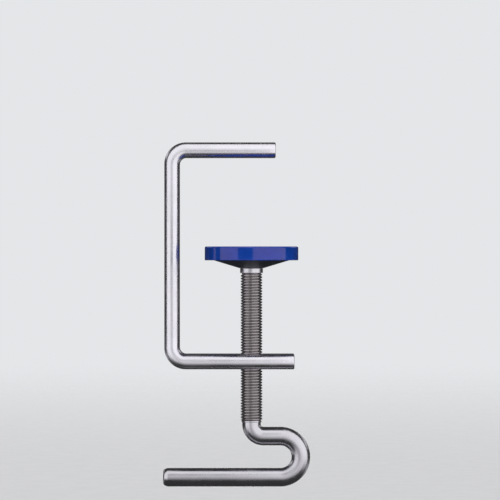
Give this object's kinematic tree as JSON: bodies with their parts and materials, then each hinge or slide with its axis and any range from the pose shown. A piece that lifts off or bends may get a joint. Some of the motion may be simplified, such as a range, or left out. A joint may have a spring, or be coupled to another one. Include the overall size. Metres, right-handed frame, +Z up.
{
  "type": "table clamp",
  "caption": "Screw-type table clamp: bent flat-bar C frame, threaded spindle with a bent crank handle, and a swivelling pressure plate with a plastic cap.",
  "frame": {"origin": "on the spindle's axis, on the clamping face under the upper arm", "axes": "+Z up along the spindle's axis, +X towards the open side of the frame, Y across the width of the bar"},
  "size_m": [0.0477, 0.0304, 0.1117],
  "materials": {
    "plated_bar": "satin nickel-plated steel",
    "plated_rod": "satin nickel-plated steel with a rolled thread",
    "bright_steel": "bright turned steel",
    "spring_steel": "dark spring steel",
    "black_plastic": "near-black moulded plastic",
    "blue_plastic": "glossy deep violet-blue moulded plastic"
  },
  "bodies": {
    "frame": {"clamp_frame": "plated_bar"},
    "carrier": {"thrust_collar": "bright_steel"},
    "screw": {"spindle": "plated_rod", "retaining_clip": "spring_steel"},
    "pad": {"swivel_dish": "black_plastic", "protective_cap": "blue_plastic"}
  },
  "joints": [
    {"name": "spindle_travel", "type": "slide", "parent": "frame", "child": "carrier", "axis": [0, 0, 1], "range_m": [-0.0253, 0.0163]},
    {"name": "spindle_turn", "type": "hinge", "parent": "carrier", "child": "screw", "pos_m": [0, 0, -0.0667], "axis": [0, 0, 1], "range_deg": [-10080, 6480]},
    {"name": "pad_swivel", "type": "hinge", "parent": "carrier", "child": "pad", "pos_m": [0, 0, -0.034], "axis": [0, 0, 1], "continuous": true}
  ],
  "couplings": [
    {"joint": "spindle_travel", "follows": "spindle_turn", "m_per_rad": 0.00014324}
  ]
}
